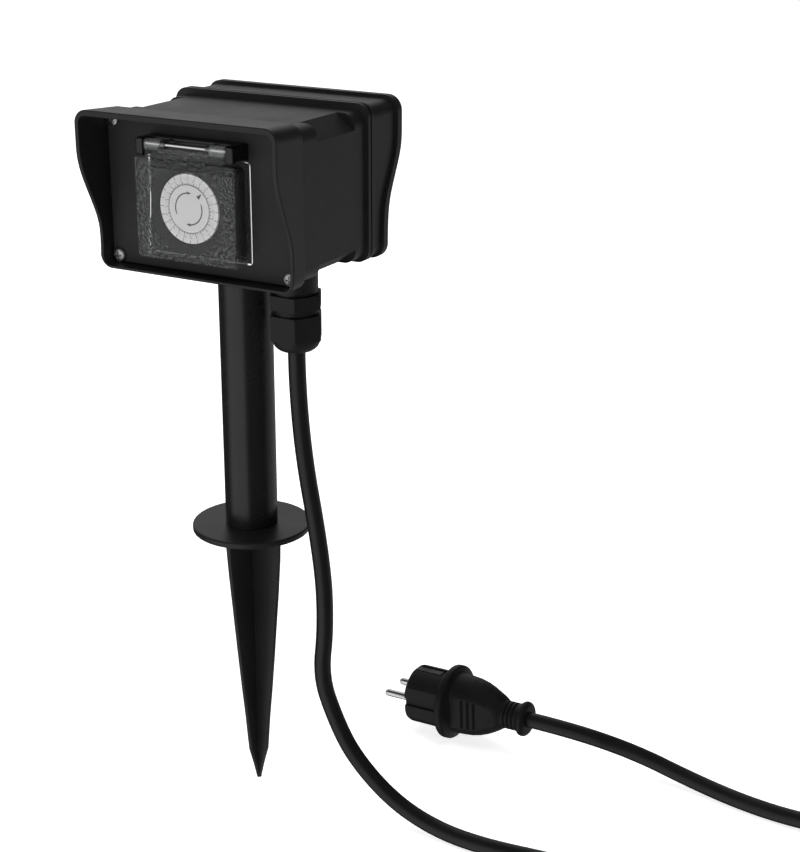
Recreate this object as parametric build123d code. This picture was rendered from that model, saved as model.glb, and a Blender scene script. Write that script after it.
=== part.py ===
from build123d import *
import os
import math

# Outdoor socket timer on a ground spike. Millimetres, +Z up, timer face
# towards -Y, sockets towards +Y. Origin: centre of the underside of the
# soil disc, on the axis of the pole.

# ---------------------------------------------------------------- driving
FLOOR_Z = -176.3          # tip of the spike, and the surface the cord lies on
DISC_R, DISC_T = 36.4, 4.0
POLE_R, POLE_WALL, POLE_TOP = 16.0, 2.6, 181.5

BODY_HX = 65.0            # half width of the central body
BODY_Z0, BODY_Z1 = 170.7, 257.6
BODY_R = 8.0
WALL = 2.5
NOTCH_X, NOTCH_ZT, NOTCH_ZB = 53.0, 248.4, 179.1
NOTCH_Y0, NOTCH_Y1 = -21.0, 18.5

HOOD_HX, HOOD_Z0, HOOD_Z1 = 67.2, 167.8, 261.7
HOOD_Y0, HOOD_Y1 = -65.5, -37.5
PANEL_Y0, PANEL_Y1 = -41.0, -38.4
SEAM_Y = 30.0             # front face of the flange
GASKET_Y0, GASKET_Y1 = 32.6, 34.0
REAR_LIP_Y = 69.0
REAR_PANEL_Y0, REAR_PANEL_Y1 = 43.4, 46.0

DIAL_Z, DIAL_Y = 209.8, -52.4
DIAL_R, DIAL_IN_R = 19.8, 13.8
N_SEG = 96

PIN_Y, PIN_Z, PIN_R = -53.0, 244.5, 1.25      # axis of the cover's hinge

GLAND_X, GLAND_Y = 39.1, -6.0
GLAND_Z0 = 121.7           # lower end of the cap nut, where the cord leaves
CABLE_R = 5.2
CORE_R = 1.45

SOCKET_X, SOCKET_Z = 31.2, 213.0
WELL_R = 19.75
FLAP_PIN_Y, FLAP_PIN_Z, FLAP_PIN_R = 51.2, 243.6, 1.5

MODULE = 0.5

os.makedirs("parts", exist_ok=True)
made = {}


def save(name, shape):
    made[name] = shape
    export_step(shape, "parts/" + name + ".step")


# ---------------------------------------------------------------- helpers
def box(x0, x1, y0, y1, z0, z1):
    return Pos((x0 + x1) / 2, (y0 + y1) / 2, (z0 + z1) / 2) * Box(x1 - x0, y1 - y0, z1 - z0)


def cyl_z(x, y, r, z0, z1):
    return Pos(x, y, (z0 + z1) / 2) * Cylinder(r, z1 - z0)


def cyl_y(x, z, r, y0, y1):
    return Pos(x, (y0 + y1) / 2, z) * Rot(90, 0, 0) * Cylinder(r, y1 - y0)


def cyl_x(y, z, r, x0, x1):
    return Pos((x0 + x1) / 2, y, z) * Rot(0, 90, 0) * Cylinder(r, x1 - x0)


def yface(x0, x1, z0, z1, r, y):
    pl = Plane(origin=((x0 + x1) / 2, y, (z0 + z1) / 2), x_dir=(1, 0, 0), z_dir=(0, -1, 0))
    return pl * (RectangleRounded(x1 - x0, z1 - z0, r) if r else Rectangle(x1 - x0, z1 - z0))


def ybox(x0, x1, z0, z1, r, y0, y1):
    return extrude(yface(x0, x1, z0, z1, r, y1), y1 - y0)


def yloft(a, b):
    return loft([yface(*a), yface(*b)], ruled=True)


def yprism(pts, y0, y1):
    """Polygon of (x, z) points, from y0 to y1."""
    pl = Plane(origin=(0, y1, 0), x_dir=(1, 0, 0), z_dir=(0, -1, 0))
    return extrude(pl * make_face(Polyline(*pts, close=True)), y1 - y0)


def xprism(pts, x0, x1):
    """Polygon of (y, z) points, from x0 to x1."""
    pl = Plane(origin=(x0, 0, 0), x_dir=(0, 1, 0), z_dir=(1, 0, 0))
    return extrude(pl * make_face(Polyline(*pts, close=True)), x1 - x0)


def hexagon(x, y, af, z0, z1):
    r = af / math.sqrt(3)
    pts = [(x + r * math.cos(math.radians(60 * k)), y + r * math.sin(math.radians(60 * k))) for k in range(6)]
    return Pos(0, 0, z0) * extrude(make_face(Polyline(*pts, close=True)), z1 - z0)


def turned(pts, axis_at, direction):
    """Solid of revolution of (r, h) points; h runs along the direction from axis_at."""
    pl = Plane(origin=axis_at, z_dir=direction)
    prof = make_face(Polyline(*[(r, 0, h) for r, h in pts], close=True))
    return pl * revolve(prof, Axis.Z, 360)


def hull_fillet(shape, edges, r):
    """Round the edges where the kernel can, in two tries."""
    for k in (1.0, 0.6):
        try:
            s = fillet(edges, r * k)
            if s.is_valid and s.volume > 0.5 * shape.volume:
                return s
        except Exception:
            pass
    print("no fillet", r, len(edges))
    return shape


def notch(sx, top, off, y0, y1):
    """Prism outside one sloping corner of the central body, moved inwards by off."""
    z = NOTCH_ZT if top else NOTCH_ZB
    zc = BODY_Z1 if top else BODY_Z0
    dx, dz = BODY_HX - NOTCH_X, z - zc
    ln = math.hypot(dx, dz)
    n = (abs(dz) / ln, (1 if top else -1) * dx / ln)      # outward normal
    t = (dx / ln, dz / ln)
    a = (NOTCH_X - n[0] * off - t[0] * 25, zc - n[1] * off - t[1] * 25)
    b = (BODY_HX - n[0] * off + t[0] * 25, z - n[1] * off + t[1] * 25)
    c = (b[0] + n[0] * 60, b[1] + n[1] * 60)
    d = (a[0] + n[0] * 60, a[1] + n[1] * 60)
    return yprism([(sx * p[0], p[1]) for p in (a, b, c, d)], y0, y1)


def notches(off, y0, y1):
    return [notch(sx, top, off, y0, y1) for sx in (-1, 1) for top in (True, False)]


def gear(teeth, y0, y1, x, z, bore, phase=0.0):
    """Spur gear on a Y axis; phase is the angle of a tooth's centre from +X, in degrees."""
    r = MODULE * teeth / 2
    ro, ri = r + 0.9 * MODULE, r - 1.2 * MODULE
    p = 360.0 / teeth
    pts = []
    for k in range(teeth):
        a = phase + k * p
        for da, rr in ((-0.33, ri), (-0.115, ro), (0.115, ro), (0.33, ri)):
            t = math.radians(a + da * p)
            pts.append((x + rr * math.cos(t), z + rr * math.sin(t)))
    g = yprism(pts, y0, y1)
    return g - cyl_y(x, z, bore, y0 - 1, y1 + 1) if bore else g


def polar(r, deg):
    return r * math.cos(math.radians(deg)), r * math.sin(math.radians(deg))


def sector(r0, r1, a0, a1, y0, y1, x, z):
    """Piece of a ring on a Y axis between two angles, in degrees."""
    n = max(1, int(abs(a1 - a0) / 6))
    outer = [polar(r1, a0 + (a1 - a0) * k / n) for k in range(n + 1)]
    inner = [polar(r0, a1 - (a1 - a0) * k / n) for k in range(n + 1)]
    return yprism([(x + p, z + q) for p, q in outer + inner], y0, y1)


def pan_screw(x, z, y_face, out, head_r, shank_r, length):
    """Pan-head cross-slotted screw; out is -1 when the head faces -Y."""
    h = head_r * 0.52
    pts = [(0, -length), (shank_r * 0.35, -length), (shank_r, -length + shank_r * 1.6), (shank_r, 0),
           (head_r, 0), (head_r, h * 0.35), (head_r * 0.93, h * 0.62), (head_r * 0.75, h * 0.84),
           (head_r * 0.45, h * 0.97), (0, h)]
    s = turned(pts, (x, y_face, z), (0, out, 0))
    d = h * 0.62
    for w, l in ((head_r * 0.22, head_r * 1.15), (head_r * 1.15, head_r * 0.22)):
        s -= Pos(x, y_face + out * (h - d / 2 + 0.3), z) * Box(w, d + 0.6, l)
    return s


# ================================================================ housing
# ---- front half: hood, ledge, central body, flange and gland boss
hood = yloft((-HOOD_HX, HOOD_HX, HOOD_Z0, HOOD_Z1, 8.0, HOOD_Y0),
             (-65.8, 65.8, 168.3, 260.0, 8.0, HOOD_Y1))
central = ybox(-BODY_HX, BODY_HX, BODY_Z0, BODY_Z1, BODY_R, PANEL_Y1, SEAM_Y)
for n in notches(0, NOTCH_Y0, NOTCH_Y1):
    central -= n
flange = ybox(-67.1, 67.1, 168.9, 261.6, 8.0, SEAM_Y, GASKET_Y0)
front = hood + central + flange

FRONT_LIP = [(-65.5, 241), (-64.8, 233.0), (-62.8, 225.5), (-59.4, 217), (-55.7, 208.8),
             (-52.4, 201), (-50.3, 194), (-49.6, 187), (-49.7, 178), (-50, 167.8)]


def lip_cutter(curve, top_z, y_out, x_half=80):
    """Everything beyond a hood's lip, seen from the side."""
    y_top = curve[0][0]
    yb, zb = curve[-1]
    s = Spline([(y, z) for y, z in curve], tangents=[(0, -1), (0, -1)])
    rest = Polyline((yb, zb), (yb, zb - 15), (y_out, zb - 15), (y_out, top_z + 15),
                    (y_top, top_z + 15), (y_top, curve[0][1]))
    f = make_face([s] + list(rest.edges()))
    pl = Plane(origin=(-x_half, 0, 0), x_dir=(0, 1, 0), z_dir=(1, 0, 0))
    return extrude(pl * f, 2 * x_half)


front -= lip_cutter(FRONT_LIP, HOOD_Z1, -90)
front -= yloft((-64.4, 64.4, 169.5, 258.3, 4.6, HOOD_Y0 - 0.2), (-63.7, 63.7, 169.9, 258.2, 4.6, PANEL_Y1))

cavity = ybox(-BODY_HX + WALL, BODY_HX - WALL, BODY_Z0 + WALL, BODY_Z1 - WALL, BODY_R - WALL, -36.2, 36)
for n in notches(WALL, NOTCH_Y0 - WALL, NOTCH_Y1 + WALL):
    cavity -= n
front -= cavity
# window of the ledge that carries the panel
front -= ybox(-60.5, 60.5, 176.0, 252.5, 3.0, -39, -36)
# bosses of the panel's screws
SCREW_X, SCREW_ZB, SCREW_ZT = 59.0, 174.3, 253.8
for sx in (-1, 1):
    for z in (SCREW_ZB + 1.2, SCREW_ZT - 1.1):
        boss = cyl_y(sx * 58.6, z, 3.9, PANEL_Y1, -24.5)
        boss = boss & ybox(-63.5, 63.5, BODY_Z0 + 0.6, BODY_Z1 - 0.6, 7, -40, -20)
        front += boss
    for z in (SCREW_ZB, SCREW_ZT):
        front -= cyl_y(sx * SCREW_X, z, 1.55, PANEL_Y1 - 0.1, -26.5)
# bosses of the screws that hold the rear half
JOIN_X, JOIN_ZB, JOIN_ZT = 47.5, 178.6, 249.6
for sx in (-1, 1):
    for z, zw in ((JOIN_ZB, BODY_Z0 + 1.5), (JOIN_ZT, BODY_Z1 - 1.5)):
        front += cyl_y(sx * JOIN_X, z, 4.2, 20.5, GASKET_Y0)
        front += box(sx * JOIN_X - 1.5, sx * JOIN_X + 1.5, 20.5, GASKET_Y0, min(z, zw), max(z, zw))
        front -= cyl_y(sx * JOIN_X, z, 1.55, 22.5, GASKET_Y0 + 1)
# socket of the pole
front += cyl_z(0, 0, POLE_R + 3.8, BODY_Z0 + 1, 183.0)
front -= cyl_z(0, 0, POLE_R + 0.04, 160, POLE_TOP)
front -= cyl_z(0, 0, POLE_R - POLE_WALL + 0.4, 160, 190)
front -= cyl_x(0, 178.0, 1.55, 14, 25)
# gland boss
front += cyl_z(GLAND_X, GLAND_Y, 13.2, 156.7, BODY_Z0 + 1)
front -= cyl_z(GLAND_X, GLAND_Y, 8.06, 150, BODY_Z0 + WALL + 0.5)

# small rounding on the lip's outer edge
lip_edges = [e for e in front.edges()
             if e.bounding_box().max.Y < -49 and e.length > 20
             and (abs(abs(e.center().X) - 67.2) < 0.35 or e.center().Z > 261.5)]
front = hull_fillet(front, lip_edges, 0.6) if lip_edges else front
save("front_housing", front)

# ---- panel behind the front hood, with the timer's window
panel = ybox(-63.1, 63.1, 170.6, 257.7, 4.2, PANEL_Y0, PANEL_Y1)
panel -= ybox(-29.8, 29.8, 183.2, 233.8, 2.0, PANEL_Y0 - 1, PANEL_Y1 + 1)
for sx in (-1, 1):
    for z in (SCREW_ZB, SCREW_ZT):
        panel -= cyl_y(sx * SCREW_X, z, 1.9, PANEL_Y0 - 1, PANEL_Y1 + 1)
    # pilot holes of the bracket's screws
    panel -= cyl_y(sx * 30.4, 242.6, 0.95, PANEL_Y0 - 1, PANEL_Y1 + 1)
save("front_panel", panel)
save("panel_screws", Compound([pan_screw(sx * SCREW_X, z, PANEL_Y0, -1, 4.4, 1.5, 12.5)
                               for sx in (-1, 1) for z in (SCREW_ZB, SCREW_ZT)]))

# ---- rear half
REAR_LIP = [(69, 241), (67.2, 229.6), (63.6, 221.3), (59.5, 213.1), (55.3, 203.7),
            (53.1, 193.4), (52.3, 181.5), (52.3, 168.4)]


def rear_cut(shift, y_out=90):
    return lip_cutter([(y + shift, z) for y, z in REAR_LIP], HOOD_Z1, y_out)


rear = ybox(-65.2, 65.2, 169.3, 259.7, 8.0, GASKET_Y1, REAR_LIP_Y + 1)
bead = ybox(-67.2, 67.2, 167.8, 261.7, 9.0, 40, REAR_LIP_Y + 1) & rear_cut(-5.0)
rear = (rear + bead) - rear_cut(0)
rear -= ybox(-62.5, 62.5, 171.6, 257.0, 5.8, GASKET_Y1 - 1, 41.4)
rear -= ybox(-62.5, 62.5, 171.6, 257.0, 5.8, REAR_PANEL_Y0, 80)
rear -= ybox(-60.0, 60.0, 175.0, 253.5, 3.0, 41, 44)
rear += ybox(-67.1, 67.1, 168.9, 261.6, 8.0, GASKET_Y1, GASKET_Y1 + 2.4) - ybox(-62.5, 62.5, 171.6, 257.0, 5.8, 30, 40)
for sx in (-1, 1):
    for z in (SCREW_ZB + 2.6, SCREW_ZT - 1.6):
        b = cyl_y(sx * 58.4, z, 3.9, 36.0, REAR_PANEL_Y0) & ybox(-64, 64, 170.5, 258.4, 6, 30, 50)
        rear += b
        rear -= cyl_y(sx * 58.4, z, 1.55, 36.5, REAR_PANEL_Y0 + 1)
    for z, zw in ((JOIN_ZB, 170.6), (JOIN_ZT, 258.0)):
        tab = cyl_y(sx * JOIN_X, z, 4.2, GASKET_Y1, 36.4)
        tab += box(sx * JOIN_X - 2.5, sx * JOIN_X + 2.5, GASKET_Y1, 36.4, min(z, zw), max(z, zw))
        rear += tab
        rear -= cyl_y(sx * JOIN_X, z, 1.9, GASKET_Y1 - 1, 40)
save("rear_housing", rear)

gasket = ybox(-66.1, 66.1, 169.9, 260.6, 7.2, GASKET_Y0, GASKET_Y1) - ybox(-63.3, 63.3, 172.4, 256.2, 5.6, 30, 36)
save("housing_gasket", gasket)
save("housing_screws", Compound([pan_screw(sx * JOIN_X, z, 36.4, 1, 3.2, 1.5, 12.0)
                                 for sx in (-1, 1) for z in (JOIN_ZB, JOIN_ZT)]))

# ---- socket plate behind the rear hood
rp = ybox(-62.1, 62.1, 172.0, 256.6, 5.4, REAR_PANEL_Y0, REAR_PANEL_Y1)
for sx in (-1, 1):
    rp += cyl_y(sx * SOCKET_X, SOCKET_Z, 25.0, REAR_PANEL_Y0, 51.4)
    for ex in (-13.4, 10.2):
        ear = box(sx * SOCKET_X + ex, sx * SOCKET_X + ex + 3.2, REAR_PANEL_Y0, FLAP_PIN_Y, 240.4, 246.8)
        ear += cyl_x(FLAP_PIN_Y, FLAP_PIN_Z, 3.2, sx * SOCKET_X + ex, sx * SOCKET_X + ex + 3.2)
        rp += ear
for sx in (-1, 1):
    rp -= cyl_y(sx * SOCKET_X, SOCKET_Z, 21.9, 40, 60)
    rp -= cyl_x(FLAP_PIN_Y, FLAP_PIN_Z, FLAP_PIN_R + 0.02, sx * SOCKET_X - 15, sx * SOCKET_X + 15)
    for z in (SCREW_ZB + 2.6, SCREW_ZT - 1.6):
        rp -= cyl_y(sx * 58.4, z, 1.9, 40, 50)
save("rear_panel", rp)
save("rear_panel_screws", Compound([pan_screw(sx * 58.4, z, REAR_PANEL_Y1, 1, 3.5, 1.5, 9.0)
                                    for sx in (-1, 1) for z in (SCREW_ZB + 2.6, SCREW_ZT - 1.6)]))

# ---- socket inserts: round well, two pin holes, side grooves for the earth clip
for side, sx in (("left", -1), ("right", 1)):
    x, z = sx * SOCKET_X, SOCKET_Z
    s = cyl_y(x, z, 21.85, 28.5, 51.0) + cyl_y(x, z, 25.0, 40.9, REAR_PANEL_Y0 - 0.05)
    s -= cyl_y(x, z, WELL_R, 33.5, 52)
    for k in (-1, 1):
        s -= cyl_y(x + k * 9.5, z, 2.6, 20, 40)
        # guide ribs at the sides
        rib = box(x + k * 18.6 - (1.6 if k > 0 else 0), x + k * 18.6 + (0 if k > 0 else 1.6), 33.0, 47.0, z - 2.4, z + 2.4)
        s += box(min(x + k * 18.2, x + k * 20.4), max(x + k * 18.2, x + k * 20.4), 33.0, 47.0, z - 2.3, z + 2.3)
        # slots of the earth clip, top and bottom
        s -= box(x - 2.4, x + 2.4, 20, 46.0, z + k * 20.05 - 1.2, z + k * 20.05 + 1.2)
    save("%s_socket_insert" % side, s)

sleeves = []
for sx in (-1, 1):
    for k in (-1, 1):
        x = sx * SOCKET_X + k * 9.5
        sl = cyl_y(x, SOCKET_Z, 3.4, 14.0, 28.3) - cyl_y(x, SOCKET_Z, 2.42, 15.2, 30)
        sl -= box(x - 0.35, x + 0.35, 17, 30, SOCKET_Z - 5, SOCKET_Z + 5)
        sl += box(x - 2.0, x + 2.0, 8.5, 14.2, SOCKET_Z - 0.5, SOCKET_Z + 0.5)
        sleeves.append(sl)
save("contact_sleeves", Compound(sleeves))

clips = []
for sx in (-1, 1):
    x, z = sx * SOCKET_X, SOCKET_Z
    u = box(x - 2.1, x + 2.1, 26.6, 27.6, z - 20.5, z + 20.5)
    for k in (-1, 1):
        u += box(x - 2.1, x + 2.1, 26.6, 44.5, z + k * 20.1 - 0.5, z + k * 20.1 + 0.5)
    clips.append(u)
save("earth_clips", Compound(clips))

# ---- spring flaps over the sockets
for side, sx in (("left", -1), ("right", 1)):
    x, z = sx * SOCKET_X, SOCKET_Z
    f = cyl_y(x, z, 26.3, 52.2, 54.4)
    f += cyl_y(x, z, 27.3, 54.4, 55.4)
    f = hull_fillet(f, [e for e in f.edges() if e.length > 150 and e.center().Y > 55.3], 0.7)
    f += box(x - 9.6, x + 9.6, 52.2, 55.0, z + 18, FLAP_PIN_Z)
    f += cyl_x(FLAP_PIN_Y, FLAP_PIN_Z, 2.9, x - 9.6, x + 9.6)
    f += box(x - 9.6, x + 9.6, FLAP_PIN_Y, 55.0, FLAP_PIN_Z - 2.6, FLAP_PIN_Z + 0.6)
    # finger lip along the lower edge
    f += box(x - 9, x + 9, 52.8, 58.2, z - 27.2, z - 24.8)
    # room for the spring
    f -= box(x - 3.4, x + 3.4, 46, 54.2, FLAP_PIN_Z - 4, FLAP_PIN_Z + 4)
    f -= cyl_x(FLAP_PIN_Y, FLAP_PIN_Z, FLAP_PIN_R + 0.06, x - 12, x + 12)
    # lid seal's groove round the well
    f -= cyl_y(x, z, 24.6, 52.1, 52.7) - cyl_y(x, z, 22.6, 52.0, 53)
    save("%s_flap" % side, f)
save("flap_hinge_pins", Compound([cyl_x(FLAP_PIN_Y, FLAP_PIN_Z, FLAP_PIN_R, sx * SOCKET_X - 13.4, sx * SOCKET_X + 13.4)
                                  for sx in (-1, 1)]))


def scalloped(turns, r_in, wire, x0, y, z):
    """Close-wound spring round an X axis, drawn as a ridged sleeve."""
    pts = [(r_in, 0)]
    for k in range(turns):
        for t in (0.12, 0.5, 0.88):
            rr = r_in + wire * (1.0 if t == 0.5 else 0.62)
            pts.append((rr, (k + t) * wire))
        if k < turns - 1:
            pts.append((r_in + wire * 0.45, (k + 1) * wire))
    pts.append((r_in, turns * wire))
    return turned(pts, (x0, y, z), (1, 0, 0))


fsp = []
for sx in (-1, 1):
    x = sx * SOCKET_X
    sp = scalloped(7, FLAP_PIN_R + 0.1, 0.8, x - 2.8, FLAP_PIN_Y, FLAP_PIN_Z)
    sp += box(x - 2.8, x - 2.1, REAR_PANEL_Y1 + 0.05, FLAP_PIN_Y, FLAP_PIN_Z + 1.7, FLAP_PIN_Z + 2.3)
    fsp.append(sp)
save("flap_springs", Compound(fsp))

# ================================================================ timer
timer_gasket = ybox(-33.8, 33.8, 180.2, 236.4, 2.2, PANEL_Y0 - 0.7, PANEL_Y0) - ybox(-31.9, 31.9, 182.1, 234.5, 1.2, -45, -35)
save("timer_gasket", timer_gasket)

TX, TZ0, TZ1 = 29.5, 183.5, 233.5
SWING_R = 14.0             # the cover's rear top edge passes just inside this round the pin
case = ybox(-TX, TX, TZ0, TZ1, 2.0, -49.9, -13.0) - cyl_x(PIN_Y, PIN_Z, SWING_R, -40, 40)
case -= ybox(-TX + 1.8, TX - 1.8, TZ0 + 1.8, 230.0, 1.0, -50, -45.4)
case -= ybox(-TX + 1.8, TX - 1.8, TZ0 + 1.8, TZ1 - 1.8, 1.0, -45.5, -14.8)
case += ybox(-33.5, 33.5, TZ0 - 3.8, TZ1 + 3.8, 2.0, PANEL_Y1 + 0.05, PANEL_Y1 + 1.8) - ybox(-TX + 1, TX - 1, TZ0 + 1, TZ1 - 1, 1.0, -40, -30)
for x, z in ((-24.5, 188.5), (24.5, 188.5), (-24.5, 228.5), (24.5, 228.5)):
    case += (cyl_y(x, z, 2.4, -42.0, -14.0) & ybox(-TX + 0.2, TX - 0.2, TZ0 + 0.2, TZ1 - 0.2, 1, -43, -13.5))
    case += box(min(x, math.copysign(28.5, x)), max(x, math.copysign(28.5, x)), -42.0, -14.0, z - 0.6, z + 0.6)
    case -= cyl_y(x, z, 0.9, -43, -34)
# slots of the spade terminals at the back
for k in (-1, 0, 1):
    case -= box(k * 9 - 2.6, k * 9 + 2.6, -16, -12, 198.6, 199.8)
save("timer_case", case)

faceplate = ybox(-29.4, 29.4, TZ0 + 0.1, 230.6, 0.7, -51.4, -49.95)
faceplate -= cyl_y(0, DIAL_Z, 20.15, -55, -45)
faceplate += (ybox(-27.2, 27.2, TZ0 + 2.2, 227.0, 1.0, -49.95, -48.4) - ybox(-26.4, 26.4, TZ0 + 3.0, 240.0, 1.0, -52, -48))
save("timer_faceplate", faceplate)

# gear plate that carries the axles inside the case
COUNTER_A = 225.0
CX, CZ = polar(MODULE * (60 + 12) / 2, COUNTER_A)
CX, CZ = CX, DIAL_Z + CZ
MOTOR_A = 40.0
MX, MZ = polar(MODULE * (40 + 10) / 2, MOTOR_A)
MX, MZ = CX + MX, CZ + MZ
LX, LZ = 24.6, 207.5                       # pivot of the switch lever
plate = ybox(-27.3, 27.3, 185.7, 231.3, 1.0, -43.6, -42.1)
plate -= cyl_y(MX, MZ, 1.6, -50, -40)
for x, z in ((-24.5, 188.5), (24.5, 188.5), (-24.5, 228.5), (24.5, 228.5)):
    plate -= cyl_y(x, z, 1.15, -50, -40)
plate += cyl_y(CX, CZ, 0.95, -48.6, -43.0)
plate += cyl_y(LX, LZ, 0.8, -48.2, -43.0)
plate -= cyl_y(0, DIAL_Z, 2.0, -50, -40)
save("gear_plate", plate)
save("gear_plate_screws", Compound([pan_screw(x, z, -43.6, -1, 1.9, 0.85, 6.5)
                                    for x, z in ((-24.5, 188.5), (24.5, 188.5), (-24.5, 228.5), (24.5, 228.5))]))

# fixed disc in the middle of the dial, with its post
centre = cyl_y(0, DIAL_Z, 13.5, -52.6, -51.3)
centre = hull_fillet(centre, [e for e in centre.edges() if e.center().Y < -52.5], 0.3)
centre += cyl_y(0, DIAL_Z, 1.98, -51.4, -42.1)
save("dial_centre", centre)

# dial: scale ring, web behind the tappets, hub
ring = cyl_y(0, DIAL_Z, 17.15, DIAL_Y, -49.6) - cyl_y(0, DIAL_Z, DIAL_IN_R, -54, -51.0)
ring += cyl_y(0, DIAL_Z, DIAL_R, -49.6, -48.9)
ring += cyl_y(0, DIAL_Z, 4.6, -49.0, -46.5)
ring -= cyl_y(0, DIAL_Z, 2.04, -60, -40)
ring -= cyl_y(0, DIAL_Z, 12.6, -51.2, -50.7)
save("dial_ring", ring)

gear_d = gear(60, -48.4, -46.6, 0, DIAL_Z, 4.62, phase=COUNTER_A)
save("dial_gear", gear_d)

# tappets round the rim, one for each quarter of an hour, in two blocks
pitch = 360.0 / N_SEG
evening, others = [], []
for k in range(N_SEG):
    a = (k + 0.5) * pitch
    g0, g1 = (0.56 if k % 4 == 0 else 0.17), (0.56 if k % 4 == 3 else 0.17)
    s = sector(17.3, DIAL_R - 0.15, a - pitch / 2 + g0, a + pitch / 2 - g1, DIAL_Y, -50.9, 0, DIAL_Z)
    (evening if 60 <= k < 80 else others).append(s)
save("evening_tappets", Compound(evening))
save("day_tappets", Compound(others))

# reduction: counter gear with its pinion, motor with its pinion
pin12 = gear(12, -48.3, -46.7, CX, CZ, 1.0, phase=COUNTER_A + 180 + 15)
hub12 = cyl_y(CX, CZ, 2.2, -46.7, -45.6) - cyl_y(CX, CZ, 1.0, -50, -40)
save("counter_pinion", pin12 + hub12)
save("counter_gear", gear(40, -45.6, -44.3, CX, CZ, 1.0, phase=MOTOR_A))
save("motor_pinion", gear(10, -45.7, -44.2, MX, MZ, 0.0, phase=MOTOR_A + 180 + 18) + cyl_y(MX, MZ, 0.9, -44.3, -38.0))
motor = cyl_y(MX, MZ, 15.0, -40.2, -26.0) - cyl_y(MX, MZ, 0.95, -41, -37.9)
motor += cyl_y(MX, MZ, 4.0, -41.6, -40.1) - cyl_y(MX, MZ, 0.95, -42, -37.9)
motor += box(MX + 14.0, MX + 19.5, -37.5, -29.0, MZ - 5.5, MZ + 5.5)
save("timer_motor", motor)

# switch: lever that the tappets press, and the snap switch that it works
lever = cyl_y(LX, LZ, 1.9, -46.2, -44.9) + box(LX - 0.7, LX + 0.7, -46.2, -44.9, LZ, LZ + 12.6)
lever += box(LX - 0.7, LX + 0.7, -48.6, -44.9, LZ + 1.9, LZ + 4.2)
lever -= cyl_y(LX, LZ, 0.86, -50, -40)
save("switch_lever", lever)
switch = box(15.5, 22.0, -46.8, -43.65, 216.6, 229.6) + box(22.0, 22.9, -46.1, -45.0, 218.2, 219.8)
save("snap_switch", switch)

blades = []
for k in (-1, 0, 1):
    blades.append(box(k * 9 - 2.4, k * 9 + 2.4, -24.0, -7.5, 198.8, 199.6))
save("timer_terminals", Compound(blades))

# ---- clear hinged cover
cv = yloft((-34, 34, 179.8, 237.0, 2.2, -56.0), (-34.5, 34.5, 179.6, 237.1, 2.2, -41.8))
cv = hull_fillet(cv, [e for e in cv.edges() if e.center().Y < -55.9], 0.8)
cv -= yloft((-32, 32, 181.8, 235.5, 1.2, -54.0), (-32.5, 32.5, 181.6, 235.6, 1.2, -41.7))
cv -= box(-32.2, 32.2, -43.0, -41.0, 233.0, 236.6)
tongue = box(-26.7, 26.7, -56.0, -54.4, 236.0, 242.6)
tongue = hull_fillet(tongue, [e for e in tongue.edges() if e.center().Y < -55.9 and e.length < 10], 0.8)
cv += tongue
for sx in (-1, 1):
    x0, x1 = (17.0, 26.7) if sx > 0 else (-26.7, -17.0)
    cv += cyl_x(PIN_Y, PIN_Z, 2.8, x0, x1)
    cv += box(x0, x1, -56.0 + 0.25, -53.4, 241.2, PIN_Z)
cv -= cyl_x(PIN_Y, PIN_Z, PIN_R + 0.06, -30, 30)
cv -= cyl_y(0, DIAL_Z - 0.8, 24.6, -57, -55.82)
save("timer_cover", cv)

# ---- bracket, pin and springs of the cover's hinge
br = ybox(-33.0, 33.0, 237.6, 247.7, 2.0, -55.8, PANEL_Y0)
br = hull_fillet(br, [e for e in br.edges() if e.center().Y < -55.7], 1.3)
br -= box(-27.9, 27.9, -60, -49.4, 230, 250)
br -= box(-27.9, 27.9, -49.5, -43.4, 230, 246.1)
br -= xprism([(-56.5, 236), (-56.5, 239.4), (-53.9, 236.8), (-53.9, 236)], -40, 40)
br -= cyl_x(PIN_Y, PIN_Z, PIN_R + 0.02, -32.0, 32.0)
for sx in (-1, 1):
    br -= cyl_y(sx * 30.4, 242.6, 1.0, -46, -38)
save("hinge_bracket", br)
save("cover_hinge_pin", cyl_x(PIN_Y, PIN_Z, PIN_R, -31.9, 31.9))
csp = []
for sx in (-1, 1):
    x0 = 13.6 if sx > 0 else -16.8
    s = scalloped(4, PIN_R + 0.08, 0.8, x0, PIN_Y, PIN_Z)
    s += box(x0, x0 + 0.7, PIN_Y, -43.45, PIN_Z - 1.9, PIN_Z - 1.3)
    csp.append(s)
save("cover_springs", Compound(csp))
save("bracket_screws", Compound([pan_screw(sx * 30.4, 242.6, PANEL_Y1 + 0.0, 1, 2.0, 0.9, 6.0) for sx in (-1, 1)]))

# ================================================================ pole and spike
pole = cyl_z(0, 0, POLE_R, DISC_T, POLE_TOP) - cyl_z(0, 0, POLE_R - POLE_WALL, 0, 200)
pole -= cyl_x(0, 178.0, 1.6, 10, 20)
save("pole", pole)
save("pole_screw", turned([(0, -8.5), (0.5, -8.5), (1.5, -6.5), (1.5, 0), (2.9, 0), (2.9, 0.9), (2.2, 1.7), (0, 2.0)],
                          (POLE_R + 3.85, 0, 178.0), (1, 0, 0)))

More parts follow.
